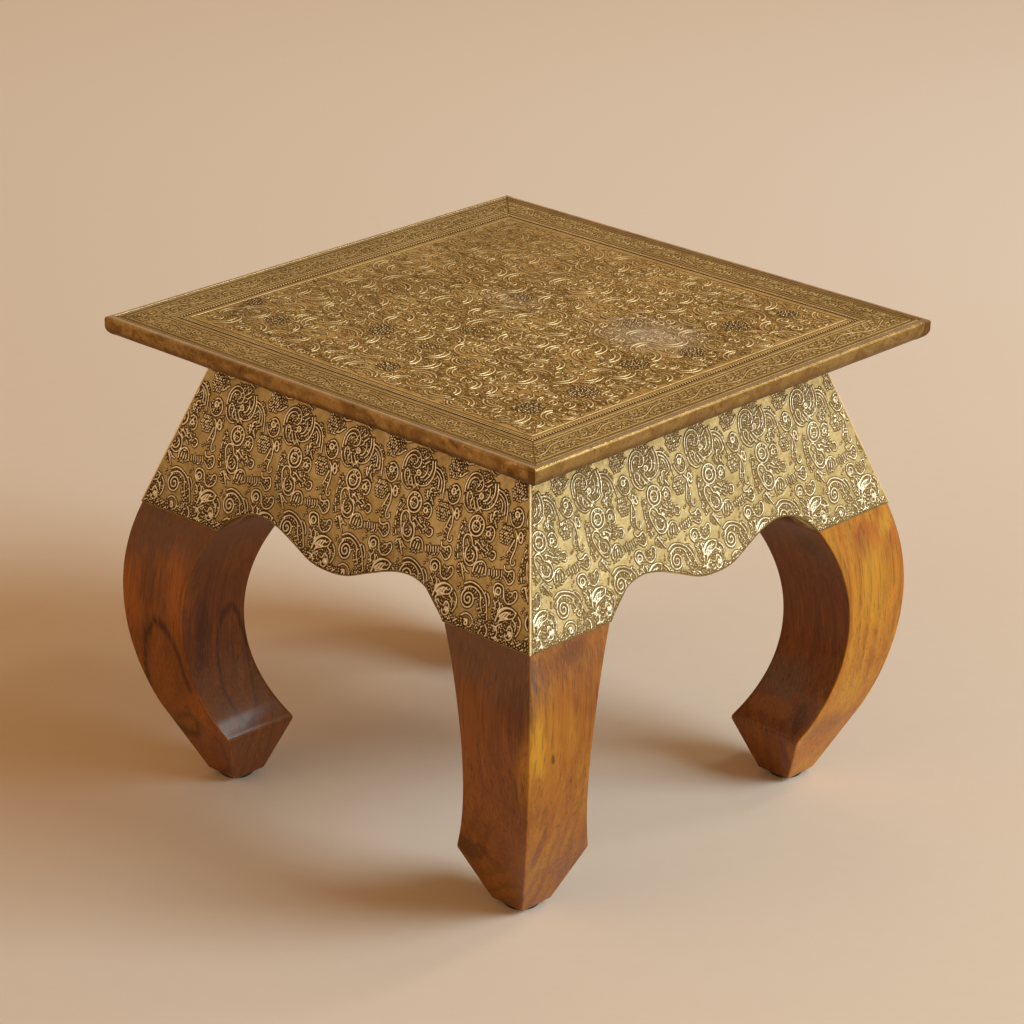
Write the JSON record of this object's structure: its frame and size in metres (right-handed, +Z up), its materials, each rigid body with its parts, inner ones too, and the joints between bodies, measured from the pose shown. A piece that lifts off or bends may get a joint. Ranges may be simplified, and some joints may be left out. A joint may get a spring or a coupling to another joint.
{
  "type": "low table",
  "caption": "Square low table with bowed hardwood legs, leaning scalloped aprons and a boarded top, clad in embossed brass sheet down to the lower legs.",
  "frame": {"origin": "on the floor, under the middle of the square top", "axes": "+Z up, -Y out through the front apron, +X out through the right apron"},
  "size_m": [0.45, 0.45, 0.388],
  "materials": {
    "embossed_brass": "embossed sheet, aged and rubbed",
    "plain_brass": "plain sheet with a mottled patina",
    "leg_wood": "oiled hardwood, semi-gloss",
    "board_wood": "planed and unfinished",
    "screw_steel": "zinc plated",
    "glide_plastic": "moulded"
  },
  "bodies": {
    "root": {"top_plank_1": "board_wood", "top_plank_2": "board_wood", "top_plank_3": "board_wood", "top_plank_4": "board_wood", "top_field_sheet": "embossed_brass", "top_border_front": "embossed_brass", "top_border_right": "embossed_brass", "top_border_back": "embossed_brass", "top_border_left": "embossed_brass", "edge_strip_front": "plain_brass", "edge_strip_right": "plain_brass", "edge_strip_back": "plain_brass", "edge_strip_left": "plain_brass", "leg_front_right": "leg_wood", "leg_back_right": "leg_wood", "leg_back_left": "leg_wood", "leg_front_left": "leg_wood", "apron_board_front": "board_wood", "apron_board_right": "board_wood", "apron_board_back": "board_wood", "apron_board_left": "board_wood", "apron_sheet_front": "embossed_brass", "apron_sheet_right": "embossed_brass", "apron_sheet_back": "embossed_brass", "apron_sheet_left": "embossed_brass", "cleat_front": "board_wood", "cleat_right": "board_wood", "cleat_back": "board_wood", "cleat_left": "board_wood", "top_screw_left_front": "screw_steel", "top_screw_right_front": "screw_steel", "apron_screw_left_front": "screw_steel", "apron_screw_right_front": "screw_steel", "top_screw_left_right": "screw_steel", "top_screw_right_right": "screw_steel", "apron_screw_left_right": "screw_steel", "apron_screw_right_right": "screw_steel", "top_screw_left_back": "screw_steel", "top_screw_right_back": "screw_steel", "apron_screw_left_back": "screw_steel", "apron_screw_right_back": "screw_steel", "top_screw_left_left": "screw_steel", "top_screw_right_left": "screw_steel", "apron_screw_left_left": "screw_steel", "apron_screw_right_left": "screw_steel", "foot_glide_front_right": "glide_plastic", "foot_glide_back_right": "glide_plastic", "foot_glide_back_left": "glide_plastic", "foot_glide_front_left": "glide_plastic", "glide_nail_front_right": "screw_steel", "glide_nail_back_right": "screw_steel", "glide_nail_back_left": "screw_steel", "glide_nail_front_left": "screw_steel"}
  },
  "joints": []
}
